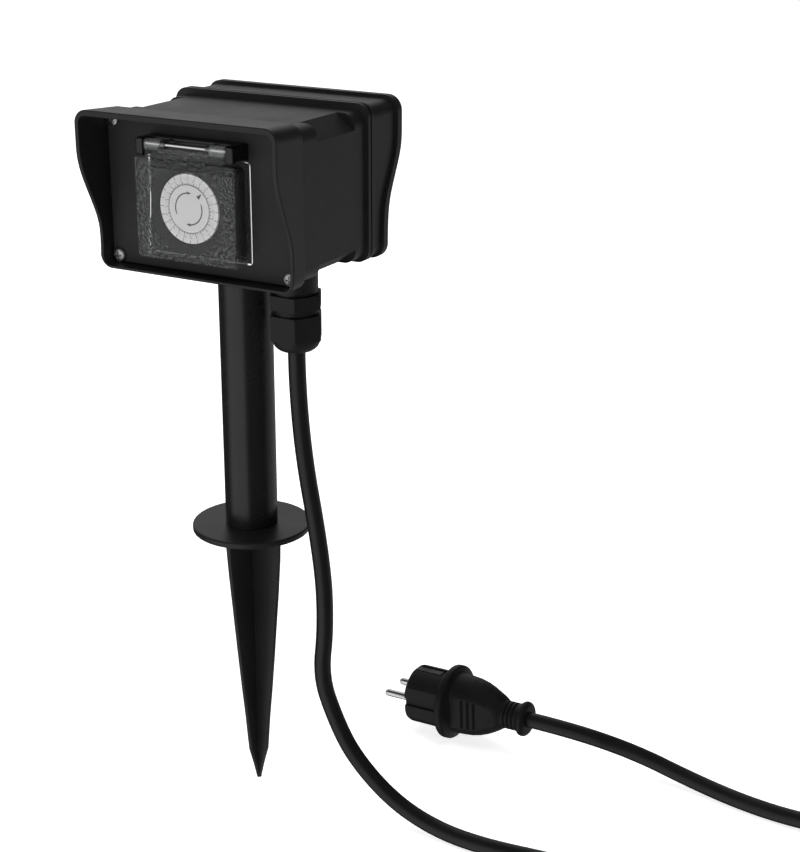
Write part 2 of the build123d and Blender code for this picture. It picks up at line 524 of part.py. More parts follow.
disc = cyl_z(0, 0, DISC_R, 0, DISC_T)
disc = hull_fillet(disc, [e for e in disc.edges() if e.length > 200], 1.1)
spike = disc + cyl_z(0, 0, POLE_R - POLE_WALL - 0.06, DISC_T - 0.5, 30) - cyl_z(0, 0, 10.0, DISC_T + 3, 40)
FIN = [(22.3, 0.5), (21.6, -17), (19.8, -39), (17.5, -61), (15.2, -84), (12.7, -107), (9.9, -130), (7.6, -153),
       (3.7, -165.5), (0.9, FLOOR_Z + 0.5), (0.5, FLOOR_Z)]
fin_face = make_face(Polyline(*([(-r, z) for r, z in FIN] + [(r, z) for r, z in reversed(FIN)]), close=True))
for a in (-7.5, 82.5):
    f = extrude(Plane(origin=(0, 0, 0), x_dir=(1, 0, 0), z_dir=(0, -1, 0)) * fin_face, 1.2, both=True)
    spike += Rot(0, 0, a) * f
save("ground_spike", spike)

# ================================================================ gland
gx, gy = GLAND_X, GLAND_Y
g = hexagon(gx, gy, 29.0, 148.1, 156.7)
g = g & turned([(0, -1), (15.9, -1), (16.9, 1.1), (16.9, 7.5), (15.9, 10), (0, 10)], (gx, gy, 148.1), (0, 0, 1))
g += cyl_z(gx, gy, 13.4, 144.6, 148.2)
g += cyl_z(gx, gy, 8.0, 156.5, 180.5)
g += cyl_z(gx, gy, 10.9, 137.0, 144.7)
g -= cyl_z(gx, gy, 5.6, 120, 190)
g -= cyl_z(gx, gy, 8.2, 136, 147.0)
save("gland_body", g)
nut = hexagon(gx, gy, 21.0, 173.3, 177.6) - cyl_z(gx, gy, 8.04, 170, 180)
save("gland_locknut", nut)
seal = turned([(CABLE_R + 0.03, 129.2), (8.6, 129.2), (8.1, 131.0), (8.1, 146.6), (CABLE_R + 0.03, 146.6)], (gx, gy, 0), (0, 0, 1))
save("gland_seal", seal)
cap = hexagon(gx, gy, 29.0, 129.2, 144.5)
cap = cap & turned([(0, -1), (15.6, -1), (16.9, 1.4), (16.9, 13.5), (15.9, 15.9), (0, 15.9)], (gx, gy, 129.2), (0, 0, 1))
cap += turned([(0, 0), (6.6, 0), (8.4, 0.35), (10.1, 1.0), (11.6, 2.0), (12.8, 3.3), (13.6, 4.8), (14.1, 6.4), (14.3, 7.6), (0, 7.6)],
              (gx, gy, GLAND_Z0), (0, 0, 1))
cap -= cyl_z(gx, gy, CABLE_R + 0.12, 120, 150)
cap -= cyl_z(gx, gy, 10.96, 132.0, 150)
cap -= turned([(0, 129.0), (8.7, 129.0), (8.7, 132.1), (0, 132.1)], (gx, gy, 0), (0, 0, 1))
save("gland_cap_nut", cap)
tail = cyl_z(gx, gy, CABLE_R, GLAND_Z0, 186.0)
save("cable_tail", tail)


# ================================================================ cord
def route_radii(pts):
    v = [Vector(*p) for p in pts]
    out = []
    for a, b, c in zip(v, v[1:], v[2:]):
        turn = (b - a).get_angle(c - b)
        out.append(0.45 * min((b - a).length, (c - b).length) / math.tan(math.radians(turn) / 2))
    return out


def tube(name, pts, r, show=True):
    rad = route_radii(pts)
    path = FilletPolyline(*pts, radius=rad)
    t = sweep(Plane(origin=path @ 0, z_dir=path % 0) * Circle(r), path=path)
    if show:
        ln = path.length
        print(name, "length %.1f" % ln, "volume / section x length %.4f" % (t.volume / (math.pi * r * r * ln)))
        print("   radii", [round(q, 1) for q in rad])
        v = [Vector(*p) for p in pts]
        print("   runs ", [round((q - p).length, 1) for p, q in zip(v, v[1:])])
    save(name, t)
    return t


CZ0 = FLOOR_Z + CABLE_R                      # cord's centre line on the floor
DROP = [(39.1, -6, GLAND_Z0), (39.1, -6, 75), (55.0, -6, -10), (56.4, -6, -53), (52.2, -6, -87), (62.1, -6, -113.3),
        (75.4, -6, -136.6), (102, -5, -160.4), (133, -5.8, CZ0), (168, -8.8, CZ0), (212, -2.6, CZ0), (258, 0, CZ0),
        (312, -13.5, CZ0), (368, -17.7, CZ0), (420, -17.5, CZ0)]
tube("supply_cable", DROP, CABLE_R)

COIL_X, COIL_Y, COIL_R = 420.0, 45.0, 62.5
coil = cyl_z(COIL_X, COIL_Y, COIL_R + CABLE_R, FLOOR_Z, FLOOR_Z + 4 * CABLE_R)
coil -= cyl_z(COIL_X, COIL_Y, COIL_R - CABLE_R, FLOOR_Z - 1, FLOOR_Z + 5 * CABLE_R)
save("cable_coil", coil)

# ---- plug: axis points out of the pins
PLUG_FACE = (55.47, 112.28, FLOOR_Z + 23.98)
PLUG_DIR = Vector(-0.99939, 0.035, -0.0401).normalized()
PLUG_LEN = 86.6
u = PLUG_DIR
plug_end = Vector(*PLUG_FACE) - u * PLUG_LEN
print("plug end", plug_end, "height over floor %.1f" % (plug_end.Z - FLOOR_Z))
RUN = [(420, 107.5, CZ0 + 2 * CABLE_R), (372, 108.6, CZ0 + 7.5), (326, 113.0, CZ0), (288, 115.8, CZ0), (250, 123.5, CZ0 + 1.5),
       (213, 122.5, CZ0 + 11.0), tuple(plug_end - u * 33.0), tuple(plug_end)]
tube("plug_cable", RUN, CABLE_R)

PLUG_UP = (Vector(0, 0, 1) - u * u.Z).normalized()
pl_plug = Plane(origin=PLUG_FACE, x_dir=tuple(PLUG_UP), z_dir=tuple(u))
# in this plane: z out of the pins, x up, y sideways


def on_plug(shape):
    return pl_plug * shape


def turned_plug(pts):
    prof = make_face(Polyline(*[(r, 0, h) for r, h in pts], close=True))
    return pl_plug * revolve(prof, Axis.Z, 360)


def smooth(a, b, n=10, p=1.0):
    """Points of a gently curved taper between two (r, h) points."""
    out = []
    for k in range(n + 1):
        t = k / n
        s = t * t * (3 - 2 * t)
        out.append((a[0] + (b[0] - a[0]) * s, a[1] + (b[1] - a[1]) * t))
    return out


COLLAR_H = -27.3            # front of the collar, behind the face
front_part = turned_plug([(0, 0), (17.5, 0), (18.8, -0.7), (19.5, -2.4), (19.5, COLLAR_H), (0, COLLAR_H)])
# flat sides with the guide grooves; slots for the earth strips, top and bottom
for k in (-1, 1):
    front_part -= on_plug(Pos(0, k * 21.3, -13) * Box(50, 10, 30))
    front_part -= on_plug(Pos(k * 19.6, 0, -12.0) * Box(3.4, 8.6, 26))
    front_part -= on_plug(Pos(0, k * 16.4, -13) * Box(5.0, 3.4, 28.7))
for k in (-1, 1):
    front_part -= on_plug(Pos(0, k * 9.5, -8) * Cylinder(2.85, 24))
save("plug_front", front_part)
collar = turned_plug([(0, COLLAR_H - 0.05), (24.2, COLLAR_H - 0.05), (24.8, -27.7), (25.0, -28.3), (25.0, -31.0), (24.7, -31.8),
                      (23.9, -32.3), (21.6, -32.9), (20.2, -33.6), (0, -33.6)])
# oval body: taller than it is wide
body = revolve(make_face(Polyline(*[(r, 0, h) for r, h in [
    (0, -31.0), (21.4, -31.0), (21.1, -33.0), (20.8, -34.4), (20.7, -37), (20.5, -41), (19.9, -47), (18.6, -52.5), (16.7, -57.5),
    (14.4, -62.0), (12.2, -65.6), (10.4, -67.8), (0, -67.8)]], close=True)), Axis.Z, 360)
body = on_plug(scale(body, by=(1, 0.86, 1)))
neck = turned_plug([(0, -64.0), (10.3, -64.0), (10.0, -67.0), (9.3, -69.6), (9.3, -71.0), (8.6, -71.0), (8.6, -72.2), (9.3, -72.2),
                    (9.3, -74.0), (8.6, -74.0), (8.6, -75.2), (9.3, -75.2), (9.3, -77.0), (8.6, -77.0), (8.6, -78.2), (9.3, -78.2),
                    (9.3, -80.6), (10.6, -81.1), (11.5, -81.9), (11.7, -83.2), (11.5, -84.6), (10.8, -85.8), (9.6, -PLUG_LEN),
                    (0, -PLUG_LEN)])
grip = collar + body + neck
# flat side fields with three grooves
for k in (-1, 1):
    grip -= on_plug(Pos(0, k * 19.3, -48.0) * Box(26, 6.6, 26))
    for h in (-43.3, -47.7, -51.9):
        grip -= on_plug(Pos(0, k * 16.0, h) * Box(19, 1.8, 1.1))
save("plug_grip", grip)
save("plug_pins", Compound([on_plug(Pos(0, k * 9.5, 0) * revolve(make_face(Polyline(
    *[(r, 0, h) for r, h in [(0, -19.9), (2.8, -19.9), (2.8, 0), (2.4, 0), (2.4, 16.8), (2.2, 17.9), (1.6, 18.6), (0.8, 18.95), (0, 19.0)]],
    close=True)), Axis.Z, 360)) for k in (-1, 1)]))
strips = []
for k in (-1, 1):
    strips.append(on_plug(Pos(k * 18.3, 0, -11.2) * Box(0.7, 5.0, 18.6)))
save("plug_earth_strips", Compound(strips))

# ================================================================ wires inside the body
WIRES = {
    "live_wire": [(37.3, -6.9, 186.8), (37.3, -6.9, 200), (20, -4, 210), (9.5, -3.0, 203.5), (9.0, -3.0, 199.2)],
    "neutral_wire": [(41.0, -7.2, 186.8), (43.5, -8.0, 199), (47, -5, 211), (42.5, 3.0, 213.5), (40.7, 7.9, 213.0)],
    "earth_wire": [(39.1, -3.7, 186.8), (37.0, -1.5, 196), (35, 5, 206), (32.5, 16, 217), (31.2, 24.9, 217.5)],
}
for name, pts in WIRES.items():
    rad = [min(q, 12.0) for q in route_radii(pts)]
    path = FilletPolyline(*pts, radius=rad)
    save(name, sweep(Plane(origin=path @ 0, z_dir=path % 0) * Circle(CORE_R), path=path))

print(len(made), "nodes")
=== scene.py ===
import math
import random

import bmesh
import bpy
from mathutils import Matrix, Vector


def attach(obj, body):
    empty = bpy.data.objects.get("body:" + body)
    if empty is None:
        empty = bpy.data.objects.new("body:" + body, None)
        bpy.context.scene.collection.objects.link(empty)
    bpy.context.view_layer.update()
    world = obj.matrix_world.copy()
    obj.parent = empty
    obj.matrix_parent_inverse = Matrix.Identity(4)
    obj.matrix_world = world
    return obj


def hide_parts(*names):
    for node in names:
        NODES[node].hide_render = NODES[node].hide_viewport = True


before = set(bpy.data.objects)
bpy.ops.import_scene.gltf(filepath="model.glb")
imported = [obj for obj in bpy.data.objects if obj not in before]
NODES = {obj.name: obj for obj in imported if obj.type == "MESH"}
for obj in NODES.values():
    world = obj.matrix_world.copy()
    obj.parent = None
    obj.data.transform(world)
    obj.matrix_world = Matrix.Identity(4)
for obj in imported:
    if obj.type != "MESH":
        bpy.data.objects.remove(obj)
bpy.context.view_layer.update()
MM = 0.001


# =====================================================================
# camera: fitted to the photograph's view
# =====================================================================
def make_camera():
    cam = bpy.data.cameras.new("camera")
    cam.sensor_fit = "AUTO"
    cam.sensor_width = 36.0
    cam.lens = 1753.652 * 36.0 / 852.0
    cam.clip_start, cam.clip_end = 0.05, 50.0
    ob = bpy.data.objects.new("camera", cam)
    bpy.context.scene.collection.objects.link(ob)
    f = Vector((-0.46174656, 0.82167609, -0.33412352))
    r = Vector((0.87153858, 0.49032501, 0.00137193))
    u = Vector((-0.1649564, 0.29056805, 0.9425283))
    m = Matrix.Identity(4)
    for i in range(3):
        m[i][0], m[i][1], m[i][2] = r[i], u[i], -f[i]
    m[0][3], m[1][3], m[2][3] = 0.57066459, -0.82885441, 0.42146726
    ob.matrix_world = m
    bpy.context.scene.camera = ob


make_camera()

# =====================================================================
# the cord
# =====================================================================
FLOOR = -176.3
CR = 5.2
C0 = FLOOR + CR
PLUG_FACE = Vector((55.47, 112.28, FLOOR + 23.98))
PLUG_DIR = Vector((-0.99939, 0.035, -0.0401)).normalized()
PLUG_UP = (Vector((0, 0, 1)) - PLUG_DIR * PLUG_DIR.z).normalized()
PLUG_SIDE = PLUG_DIR.cross(PLUG_UP).normalized()
PLUG_END = PLUG_FACE - PLUG_DIR * 86.6

DROP = [(39.1, -6, 121.7), (39.1, -6, 75), (55.0, -6, -10), (56.4, -6, -53), (52.2, -6, -87), (62.1, -6, -113.3),
        (75.4, -6, -136.6), (102, -5, -160.4), (133, -5.8, C0), (168, -8.8, C0), (212, -2.6, C0), (258, 0, C0),
        (312, -13.5, C0), (368, -17.7, C0)]
RUN = [(372, 108.6, C0 + 7.5), (326, 113.0, C0), (288, 115.8, C0), (250, 123.5, C0 + 1.5), (213, 122.5, C0 + 11.0),
       tuple(PLUG_END - PLUG_DIR * 33.0), tuple(PLUG_END)]


def coil_points():
    """One and a half turns, laid on each other, as the cord's own control points."""
    out = []
    per = 16
    rp = 62.5 / 0.981
    for k in range(int(per * 1.5) + 1):
        adv = 360.0 * k / per
        a = math.radians(adv - 90.0)
        t = min(1.0, max(0.0, (adv - 205.0) / (322.0 - 205.0)))
        h = 2 * CR * t * t * (3 - 2 * t)
        out.append((420 + rp * math.cos(a), 45 + rp * math.sin(a), C0 + h))
    return out


CORD_POINTS = DROP + coil_points() + RUN


def nurbs_curve(name, pts, radius, cyclic=False):
    cu = bpy.data.curves.new(name, "CURVE")
    cu.dimensions = "3D"
    cu.bevel_depth = radius
    cu.bevel_resolution = 9
    cu.resolution_u = 14
    cu.use_fill_caps = True
    sp = cu.splines.new("NURBS")
    sp.points.add(len(pts) - 1)
    for p, q in zip(sp.points, pts):
        p.co = (q[0] * MM, q[1] * MM, q[2] * MM, 1.0)
    sp.order_u = 3
    sp.use_endpoint_u = True
    sp.resolution_u = 14
    ob = bpy.data.objects.new(name, cu)
    bpy.context.scene.collection.objects.link(ob)
    return ob


cord = nurbs_curve("supply_cord", CORD_POINTS, CR * MM)


# =====================================================================
# node-based materials
# =====================================================================
class Mat:
    """A small wrapper that keeps node building short."""

    def __init__(self, name):
        self.m = bpy.data.materials.new(name)
        self.m.use_nodes = True
        self.nt = self.m.node_tree
        self.nt.nodes.clear()
        self.out = self.nt.nodes.new("ShaderNodeOutputMaterial")
        self.b = self.nt.nodes.new("ShaderNodeBsdfPrincipled")
        self.nt.links.new(self.b.outputs["BSDF"], self.out.inputs["Surface"])
        self.co = self.nt.nodes.new("ShaderNodeTexCoord").outputs["Object"]

    def node(self, kind, **kw):
        n = self.nt.nodes.new(kind)
        for k, v in kw.items():
            setattr(n, k, v)
        return n

    def link(self, a, b):
        self.nt.links.new(a, b)
        return b

    def set(self, **kw):
        for k, v in kw.items():
            self.b.inputs[k.replace("_", " ")].default_value = v
        return self

    def noise(self, scale, detail=3.0, rough=0.55, coord=None, stretch=None):
        n = self.node("ShaderNodeTexNoise")
        n.inputs["Scale"].default_value = scale
        n.inputs["Detail"].default_value = detail
        n.inputs["Roughness"].default_value = rough
        c = coord or self.co
        if stretch:
            mp = self.node("ShaderNodeMapping")
            mp.inputs["Scale"].default_value = stretch
            self.link(c, mp.inputs["Vector"])
            c = mp.outputs["Vector"]
        self.link(c, n.inputs["Vector"])
        return n.outputs["Fac"]

    def ramp(self, fac, stops):
        r = self.node("ShaderNodeValToRGB")
        el = r.color_ramp.elements
        while len(el) < len(stops):
            el.new(0.5)
        for e, (p, c) in zip(el, stops):
            e.position = p
            e.color = (c, c, c, 1) if isinstance(c, (int, float)) else (*c, 1)
        self.link(fac, r.inputs["Fac"])
        return r.outputs["Color"]

    def remap(self, fac, lo, hi, a, b):
        n = self.node("ShaderNodeMapRange")
        n.inputs["From Min"].default_value = lo
        n.inputs["From Max"].default_value = hi
        n.inputs["To Min"].default_value = a
        n.inputs["To Max"].default_value = b
        self.link(fac, n.inputs["Value"])
        return n.outputs["Result"]

    def math(self, op, a, b=None, clamp=False):
        n = self.node("ShaderNodeMath", operation=op, use_clamp=clamp)
        for i, v in enumerate((a, b)):
            if v is None:
                continue
            if isinstance(v, (int, float)):
                n.inputs[i].default_value = v
            else:
                self.link(v, n.inputs[i])
        return n.outputs[0]

    def bevel(self, radius, samples=4):
        n = self.node("ShaderNodeBevel", samples=samples)
        n.inputs["Radius"].default_value = radius
        return n.outputs["Normal"]

    def bump(self, height, strength, distance, normal=None):
        n = self.node("ShaderNodeBump")
        n.inputs["Strength"].default_value = strength
        n.inputs["Distance"].default_value = distance
        self.link(height, n.inputs["Height"])
        if normal is not None:
            self.link(normal, n.inputs["Normal"])
        return n.outputs["Normal"]

    def mix_rgb(self, fac, a, b):
        n = self.node("ShaderNodeMix", data_type="RGBA")
        for i, v in ((0, fac), (6, a), (7, b)):
            if isinstance(v, (int, float)):
                n.inputs[i].default_value = v
            elif isinstance(v, tuple):
                n.inputs[i].default_value = (*v, 1)
            else:
                self.link(v, n.inputs[i])
        return n.outputs[2]


def plastic(name, base, rough, spread=0.05, grain=3200.0, grain_k=0.10, bevel=0.0006, spec=0.35, tone=0.12):
    """Moulded plastic: fine grain, slow drift of tone and gloss, softly broken edges."""
    m = Mat(name)
    slow = m.noise(22.0, 3.0)
    mid = m.noise(160.0, 2.0)
    fine = m.noise(grain, 2.0, 0.6)
    lo = tuple(c * (1 - tone) for c in base)
    hi = tuple(c * (1 + tone) for c in base)
    m.link(m.mix_rgb(m.remap(slow, 0.3, 0.7, 0.0, 1.0), lo, hi), m.b.inputs["Base Color"])
    r = m.math("ADD", m.remap(slow, 0.25, 0.75, rough - spread, rough + spread), m.remap(mid, 0.3, 0.7, -0.015, 0.015))
    m.link(r, m.b.inputs["Roughness"])
    m.b.inputs["Specular IOR Level"].default_value = spec
    nrm = m.bevel(bevel) if bevel else None
    m.link(m.bump(fine, grain_k, 0.00012, nrm), m.b.inputs["Normal"])
    return m.m


def metal(name, base, rough, streak=(60.0, 60.0, 900.0), bevel=0.0002):
    """Plated steel: faint drawn streaks and slight smudging."""
    m = Mat(name)
    m.set(Metallic=1.0)
    m.b.inputs["Base Color"].default_value = (*base, 1)
    smudge = m.noise(180.0, 3.0)
    st = m.noise(1.0, 2.0, 0.5, stretch=streak)
    m.link(m.math("ADD", m.remap(smudge, 0.3, 0.7, rough * 0.75, rough * 1.3), m.remap(st, 0.3, 0.7, -0.02, 0.02)),
           m.b.inputs["Roughness"])
    m.link(m.bump(st, 0.06, 0.00005, m.bevel(bevel)), m.b.inputs["Normal"])
    return m.m


def rubber(name, base, rough, spec=0.35, bevel=0.0004, pores=2600.0):
    m = Mat(name)
    slow = m.noise(35.0, 3.0)
    fine = m.noise(pores, 3.0, 0.65)
    m.link(m.mix_rgb(m.remap(slow, 0.3, 0.7, 0.0, 1.0), tuple(c * 0.86 for c in base), tuple(c * 1.16 for c in base)),
           m.b.inputs["Base Color"])
    m.link(m.remap(slow, 0.25, 0.75, rough - 0.05, rough + 0.05), m.b.inputs["Roughness"])
    m.b.inputs["Specular IOR Level"].default_value = spec
    m.link(m.bump(fine, 0.14, 0.00012, m.bevel(bevel) if bevel else None), m.b.inputs["Normal"])
    return m.m


def clear_cover_material():
    """Clear moulding: wrinkle-frosted in front but for a smooth round window, clear walls; painted highlights, white
    and glowing, on the rear rim and in a line down the front, and painted highlight bars on the knuckles.
    """
    m = Mat("clear_cover")
    sep = m.node("ShaderNodeSeparateXYZ")
    m.link(m.co, sep.inputs[0])
    x, y, z = sep.outputs
    dz = m.math("SUBTRACT", z, 0.2090)
    rr = m.math("SQRT", m.math("ADD", m.math("MULTIPLY", x, x), m.math("MULTIPLY", dz, dz)))
    in_window = m.remap(rr, 0.0243, 0.0248, 1.0, 0.0)
    ring = m.math("MULTIPLY", m.remap(rr, 0.0242, 0.0246, 0.0, 1.0), m.remap(rr, 0.0246, 0.0250, 1.0, 0.0))
    at_front = m.remap(y, -0.0553, -0.0551, 1.0, 0.0)
    geo = m.node("ShaderNodeNewGeometry")
    ns = m.node("ShaderNodeSeparateXYZ")
    m.link(geo.outputs["True Normal"], ns.inputs[0])
    facing = m.remap(m.math("ABSOLUTE", ns.outputs[1]), 0.85, 0.95, 0.0, 1.0)
    front = m.math("MULTIPLY", at_front, facing)
    # smooth plates under the two knuckles, frosted between them
    ax = m.math("ABSOLUTE", x)
    plate = m.math("MULTIPLY", m.remap(z, 0.2362, 0.2365, 0.0, 1.0), m.remap(ax, 0.0168, 0.0170, 0.0, 1.0))
    frost = m.math("MULTIPLY", m.math("MULTIPLY", front, m.math("SUBTRACT", 1.0, plate)), m.math("SUBTRACT", 1.0, in_window))
    slant = m.node("ShaderNodeCombineXYZ")
    m.link(m.math("MULTIPLY", m.math("SUBTRACT", x, z), 0.50), slant.inputs[0])
    m.link(m.math("ADD", x, z), slant.inputs[1])
    wrinkle = m.noise(720.0, 2.0, 0.60, coord=slant.outputs[0])
    wr2 = m.noise(1300.0, 2.0, 0.6)
    hgt = m.math("ADD", m.math("MULTIPLY", wrinkle, 0.66), m.math("MULTIPLY", wr2, 0.34))
    m.link(m.bump(m.math("MULTIPLY", hgt, frost), 0.9, 0.0005, m.bevel(0.0003)), m.b.inputs["Normal"])
    spark = m.remap(hgt, 0.46, 0.60, 0.0, 1.0)
    # painted highlight: the knuckles' upper part is drawn more opaque grey, standing for the light bars across them
    knuckle_highlight = m.math("MULTIPLY", m.remap(z, 0.2416, 0.2419, 0.0, 1.0), m.remap(ax, 0.0168, 0.0170, 0.0, 1.0))
    # painted highlight along the rim at the back of the walls, white and glowing: clean on the right, broken by the
    # frosting elsewhere
    right = m.remap(x, 0.0338, 0.0340, 0.0, 1.0)
    left = m.remap(x, -0.0336, -0.0334, 1.0, 0.0)
    low = m.remap(z, 0.1803, 0.1805, 1.0, 0.0)
    top = m.math("MULTIPLY", m.remap(z, 0.2367, 0.2368, 0.0, 1.0), m.remap(x, 0.0270, 0.0275, 0.0, 1.0))
    edge = m.math("MAXIMUM", m.math("MAXIMUM", right, left), m.math("MAXIMUM", low, top))
    rim_highlight = m.math("MULTIPLY", m.remap(y, -0.0424, -0.0423, 0.0, 1.0), edge)
    glint = m.remap(m.noise(1500.0, 2.0, 0.7), 0.48, 0.62, 0.0, 1.0)
    clean = m.remap(x, 0.0300, 0.0320, 0.0, 1.0)
    at_left = m.math("MULTIPLY", m.remap(x, -0.0300, -0.0310, 0.0, 1.0), m.remap(z, 0.2300, 0.2310, 0.0, 1.0))
    broken = m.math("MULTIPLY", glint, m.math("ADD", 0.30, m.math("MULTIPLY", at_left, 0.70)))
    rim_highlight = m.math("MULTIPLY", rim_highlight, m.math("MAXIMUM", clean, broken))
    # painted highlight: a sparkling line down the front, standing in for the left wall's polished edge lighting the
    # frosting: whole in the middle, broken into glints above and below, with a thin scatter on its outer side
    off = m.math("ADD", m.math("SUBTRACT", x, m.math("MULTIPLY", z, 0.0548)), 0.035335)
    thin = m.remap(m.math("ABSOLUTE", off), 0.00016, 0.00034, 1.0, 0.0)
    scatter = m.math("MULTIPLY", m.remap(off, -0.0027, -0.0002, 0.0, 0.85), m.remap(off, 0.0003, 0.0006, 1.0, 0.0))
    specks = m.remap(m.noise(1250.0, 2.0, 0.7), 0.55, 0.64, 0.0, 1.0)
    whole = m.math("MULTIPLY", m.remap(z, 0.2015, 0.2040, 0.0, 1.0), m.remap(z, 0.2170, 0.2195, 1.0, 0.0))
    line_highlight = m.math("MAXIMUM", m.math("MULTIPLY", thin, m.math("MAXIMUM", whole, m.math("MULTIPLY", specks, 0.9))),
                  m.math("MULTIPLY", m.math("MULTIPLY", scatter, specks), m.math("SUBTRACT", 1.0, m.math("MULTIPLY", whole, 0.75))))
    line_highlight = m.math("MULTIPLY", m.math("MULTIPLY", line_highlight, front),
                  m.math("MULTIPLY", m.remap(z, 0.1805, 0.1815, 0.0, 1.0), m.remap(z, 0.2345, 0.2355, 1.0, 0.0)))
    # painted highlight: the rear rim and the front line together, drawn white and glowing below
    painted_highlight = m.math("MAXIMUM", rim_highlight, m.math("MULTIPLY", line_highlight, 0.75))
    alpha = m.math("ADD", 0.014, m.math("MULTIPLY", front, 0.030))
    alpha = m.math("ADD", alpha, m.math("MULTIPLY", frost, m.remap(spark, 0.0, 1.0, -0.042, 0.140)))
    alpha = m.math("ADD", alpha, m.math("MULTIPLY", ring, 0.015))
    alpha = m.math("ADD", alpha, m.math("MULTIPLY", knuckle_highlight, 0.15))
    alpha = m.math("ADD", alpha, m.math("MULTIPLY", painted_highlight, 0.85), clamp=True)
    m.link(alpha, m.b.inputs["Alpha"])
    m.link(m.mix_rgb(painted_highlight, (0.50, 0.51, 0.52), (0.95, 0.95, 0.95)), m.b.inputs["Base Color"])
    m.link(m.math("ADD", 0.08, m.math("MULTIPLY", frost, 0.25)), m.b.inputs["Roughness"])
    m.b.inputs["Specular IOR Level"].default_value = 0.8
    # the painted highlight is drawn white and made to glow
    m.b.inputs["Emission Color"].default_value = (1, 1, 1, 1)
    m.link(m.math("MULTIPLY", painted_highlight, 0.42), m.b.inputs["Emission Strength"])
    return m.m


BLACK = (0.0105, 0.0106, 0.0110)
M = {
    "housing": plastic("housing_black", BLACK, 0.40, grain_k=0.10),
    "panel": plastic("panel_black", (0.0172, 0.0173, 0.0176), 0.50, grain_k=0.14, spec=0.18),
    "bracket": plastic("bracket_black", (0.0045, 0.0045, 0.0048), 0.20, spread=0.03, grain_k=0.02, bevel=0.0006, spec=0.5),
    "flap": plastic("flap_black", (0.0105, 0.0106, 0.011), 0.42),
    "pole": plastic("pole_black", (0.0075, 0.0076, 0.008), 0.26, spread=0.03, grain_k=0.03, spec=0.5),
    "spike": plastic("spike_black", (0.0105, 0.0106, 0.011), 0.36, spread=0.04, grain_k=0.06),
    "gland": plastic("gland_black", (0.0095, 0.0096, 0.010), 0.40, grain_k=0.08, bevel=0.0005, spec=0.20),
    "faceplate": plastic("faceplate_black", (0.0080, 0.0081, 0.0085), 0.34, spread=0.03, grain_k=0.03, spec=0.22),
    "dial": plastic("dial_light_grey", (0.475, 0.475, 0.475), 0.45, grain_k=0.05, tone=0.02, bevel=0.00015),
    "tappet": plastic("tappet_white", (0.53, 0.53, 0.525), 0.42, grain_k=0.05, tone=0.03, bevel=0.00008),
    "inner": plastic("inner_plastic", (0.42, 0.42, 0.40), 0.5, tone=0.05, bevel=0.0002),
    "seal": rubber("seal_rubber", (0.006, 0.006, 0.006), 0.6),
    "cord": rubber("cord_rubber", (0.0068, 0.0068, 0.0070), 0.38, spec=0.40, bevel=0.0),
    "plug": rubber("plug_rubber", (0.0080, 0.0080, 0.0082), 0.44, spec=0.20, bevel=0.0004, pores=2600.0),
    "steel": metal("bright_steel", (0.86, 0.86, 0.86), 0.14),
    "screw": metal("screw_nickel", (0.62, 0.62, 0.62), 0.38, streak=(120, 120, 120), bevel=0.0003),
    "spring": metal("spring_steel", (0.92, 0.92, 0.92), 0.34),
    "contact": metal("contact_tarnished", (0.055, 0.053, 0.050), 0.38),
    "brass": metal("brass_contact", (0.78, 0.60, 0.30), 0.28),
    "can": metal("motor_can", (0.60, 0.60, 0.61), 0.35),
    "brown": plastic("core_brown", (0.10, 0.045, 0.02), 0.4, bevel=0.0),
    "blue": plastic("core_blue", (0.02, 0.08, 0.40), 0.4, bevel=0.0),
    "green": plastic("core_green_yellow", (0.10, 0.32, 0.03), 0.4, bevel=0.0),
    "clear": clear_cover_material(),
}

NODE_MAT = {
    "front_housing": "housing", "rear_housing": "housing", "front_panel": "panel", "rear_panel": "panel",
    "hinge_bracket": "bracket", "left_socket_insert": "panel", "right_socket_insert": "panel",
    "left_flap": "flap", "right_flap": "flap", "housing_gasket": "seal", "timer_gasket": "seal", "gland_seal": "seal",
    "panel_screws": "screw", "rear_panel_screws": "screw", "housing_screws": "screw", "gear_plate_screws": "screw",
    "bracket_screws": "screw", "pole_screw": "screw", "cover_hinge_pin": "steel", "cover_springs": "spring",
    "flap_hinge_pins": "steel", "flap_springs": "steel", "timer_cover": "clear", "timer_case": "faceplate",
    "timer_faceplate": "faceplate", "dial_ring": "dial", "dial_centre": "dial", "dial_gear": "inner",
    "evening_tappets": "tappet", "day_tappets": "tappet", "gear_plate": "inner", "counter_pinion": "inner",
    "counter_gear": "inner", "motor_pinion": "inner", "switch_lever": "inner", "snap_switch": "inner",
    "timer_motor": "can", "timer_terminals": "brass", "contact_sleeves": "brass", "earth_clips": "brass",
    "pole": "pole", "ground_spike": "spike", "gland_body": "gland", "gland_locknut": "gland", "gland_cap_nut": "gland",
    "cable_tail": "cord", "supply_cable": "cord", "cable_coil": "cord", "plug_cable": "cord",
    "plug_front": "plug", "plug_grip": "plug", "plug_pins": "steel", "plug_earth_strips": "contact",
    "live_wire": "brown", "neutral_wire": "blue", "earth_wire": "green",
}
for name, ob in NODES.items():
    mat = M[NODE_MAT[name]]
    if not ob.material_slots:
        ob.data.materials.append(mat)
    for s in ob.material_slots:
        s.material = mat


# =====================================================================
# helpers for the modelled pieces
# =====================================================================
def new_mesh(name, bm, mat, smooth=True):
    me = bpy.data.meshes.new(name)
    bmesh.ops.recalc_face_normals(bm, faces=bm.faces)
    bm.to_mesh(me)
    bm.free()
    for p in me.polygons:
        p.use_smooth = smooth
    me.materials.append(mat)
    ob = bpy.data.objects.new(name, me)
    bpy.context.scene.collection.objects.link(ob)
    return ob


# ---- cord pieces
cord.data.materials.append(M["cord"])
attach(cord, "housing")
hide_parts("supply_cable", "cable_coil", "plug_cable")


